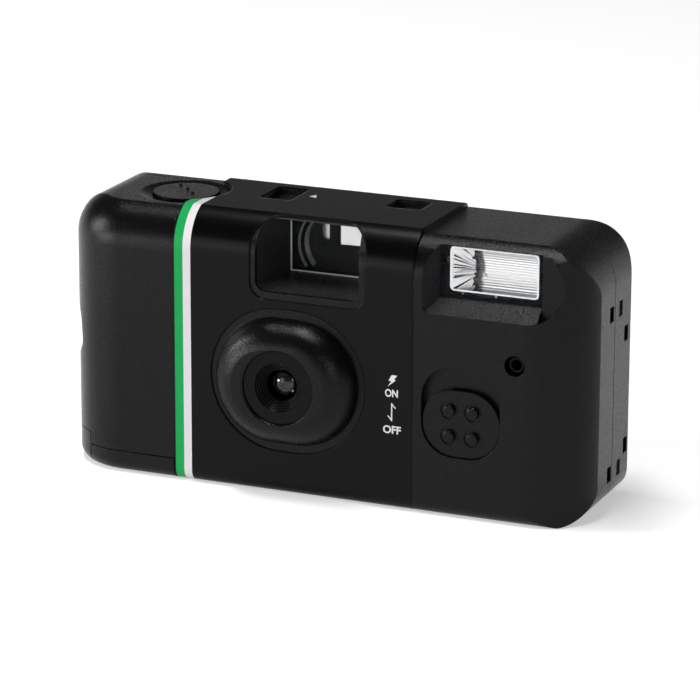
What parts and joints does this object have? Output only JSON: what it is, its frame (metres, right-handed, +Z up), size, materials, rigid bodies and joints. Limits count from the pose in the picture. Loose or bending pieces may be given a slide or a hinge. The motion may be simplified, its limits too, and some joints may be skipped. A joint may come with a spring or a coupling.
{
  "type": "disposable film camera",
  "caption": "Single-use film camera with an oval lens dome, a viewfinder, a flash with a slide switch, a shutter button, a thumb wheel and a printed sleeve.",
  "frame": {"origin": "middle of the bounding box at the surface that the camera stands on", "axes": "+X along the body to the flash end, +Y from the lens side to the back, +Z up"},
  "size_m": [0.108, 0.033, 0.054],
  "materials": {
    "cover_black": "fine matte grain",
    "label": "semi-gloss print",
    "inner_black": "matte",
    "inner_white": "matte",
    "clear": "clear polished",
    "lens_clear": "clear polished",
    "reflector": "bright",
    "flash_glass": "clear",
    "steel": "bare",
    "contact": "bare",
    "blade": "matte black",
    "cartridge": "satin",
    "felt": "plush",
    "film": "gloss",
    "board": "satin",
    "capacitor": "sleeved",
    "winding": "wound copper",
    "cell": "gloss",
    "lamp": "clear"
  },
  "bodies": {
    "camera": {"front_cover": "cover_black", "rear_cover": "cover_black", "label_wrap": "label", "lens_hood": "inner_black", "taking_lens": "lens_clear", "aperture_ring": "inner_black", "lens_holder": "inner_black", "blade_spring": "steel", "chassis": "inner_black", "top_plate": "inner_black", "drive_spring": "steel", "latch_pin": "steel", "latch_spring": "steel", "counter_window": "clear", "cartridge_shell": "cartridge", "cartridge_caps": "steel", "light_trap_felt": "felt", "film_strip": "film", "finder_front_lens": "clear", "finder_frame": "inner_black", "finder_eyepiece": "clear", "flash_window": "clear", "flash_reflector": "reflector", "flash_tube": "flash_glass", "circuit_board": "board", "main_capacitor": "capacitor", "transformer": "winding", "trigger_coil": "winding", "board_post": "inner_black", "sync_contact": "contact", "battery": "cell", "battery_contact_top": "steel", "battery_contact_bottom": "steel", "ready_lamp": "lamp", "lamp_window": "clear"},
    "button": {"shutter_button": "cover_black"},
    "latch": {"latch_lever": "inner_white"},
    "lever": {"drive_lever": "inner_white"},
    "blade": {"shutter_blade": "blade"},
    "switch": {"flash_switch": "cover_black", "switch_contact": "contact"},
    "winder": {"thumb_wheel": "cover_black", "cartridge_spool": "inner_black"},
    "sprocket": {"sprocket_wheel": "inner_white"},
    "roll": {"film_roll": "film", "supply_spool": "inner_black"},
    "counter": {"counter_disc": "inner_white"},
    "lid": {"cartridge_lid": "cover_black"}
  },
  "joints": [
    {"name": "shutter_press", "type": "slide", "parent": "camera", "child": "button", "axis": [0, 0, -1], "range_m": [0, 0.0012], "stiffness_N_per_m": 800, "springref_m": -0.0006},
    {"name": "latch_tilt", "type": "hinge", "parent": "camera", "child": "latch", "pos_m": [-0.0225, -0.0038, 0.0449], "axis": [0, -1, 0], "range_deg": [0, 20.06]},
    {"name": "lever_swing", "type": "hinge", "parent": "camera", "child": "lever", "pos_m": [-0.0175, -0.0004, 0.0432], "axis": [0, 0, -1], "range_deg": [0, 24]},
    {"name": "blade_swing", "type": "hinge", "parent": "camera", "child": "blade", "pos_m": [-0.0125, -0.00885, 0.032], "axis": [0, -1, 0], "range_deg": [0, 19]},
    {"name": "switch_slide", "type": "slide", "parent": "camera", "child": "switch", "axis": [0, 0, 1], "range_m": [0, 0.0044]},
    {"name": "thumb_turn", "type": "hinge", "parent": "camera", "child": "winder", "pos_m": [-0.0393, 0.0029, 0.046], "axis": [0, 0, 1], "continuous": true},
    {"name": "sprocket_turn", "type": "hinge", "parent": "camera", "child": "sprocket", "pos_m": [-0.0135, 0.0075, 0.04], "axis": [0, 0, 1], "continuous": true},
    {"name": "roll_turn", "type": "hinge", "parent": "camera", "child": "roll", "pos_m": [0.026, 0.0048, 0.022], "axis": [0, 0, 1], "continuous": true},
    {"name": "counter_turn", "type": "hinge", "parent": "camera", "child": "counter", "pos_m": [-0.0193, 0.0044, 0.051], "axis": [0, 0, 1], "continuous": true},
    {"name": "lid_swing", "type": "hinge", "parent": "camera", "child": "lid", "pos_m": [-0.0386, 0.0083, 0.0006], "axis": [1, 0, 0], "range_deg": [0, 100]}
  ],
  "couplings": [
    {"joint": "latch_tilt", "follows": "shutter_press", "rad_per_m": 291.7},
    {"joint": "lever_swing", "follows": "shutter_press", "rad_per_m": 349},
    {"joint": "blade_swing", "follows": "shutter_press", "rad_per_m": 276.3},
    {"joint": "sprocket_turn", "follows": "thumb_turn", "ratio": 0.943},
    {"joint": "roll_turn", "follows": "thumb_turn", "ratio": 0.62},
    {"joint": "counter_turn", "follows": "thumb_turn", "ratio": -0.0314}
  ]
}
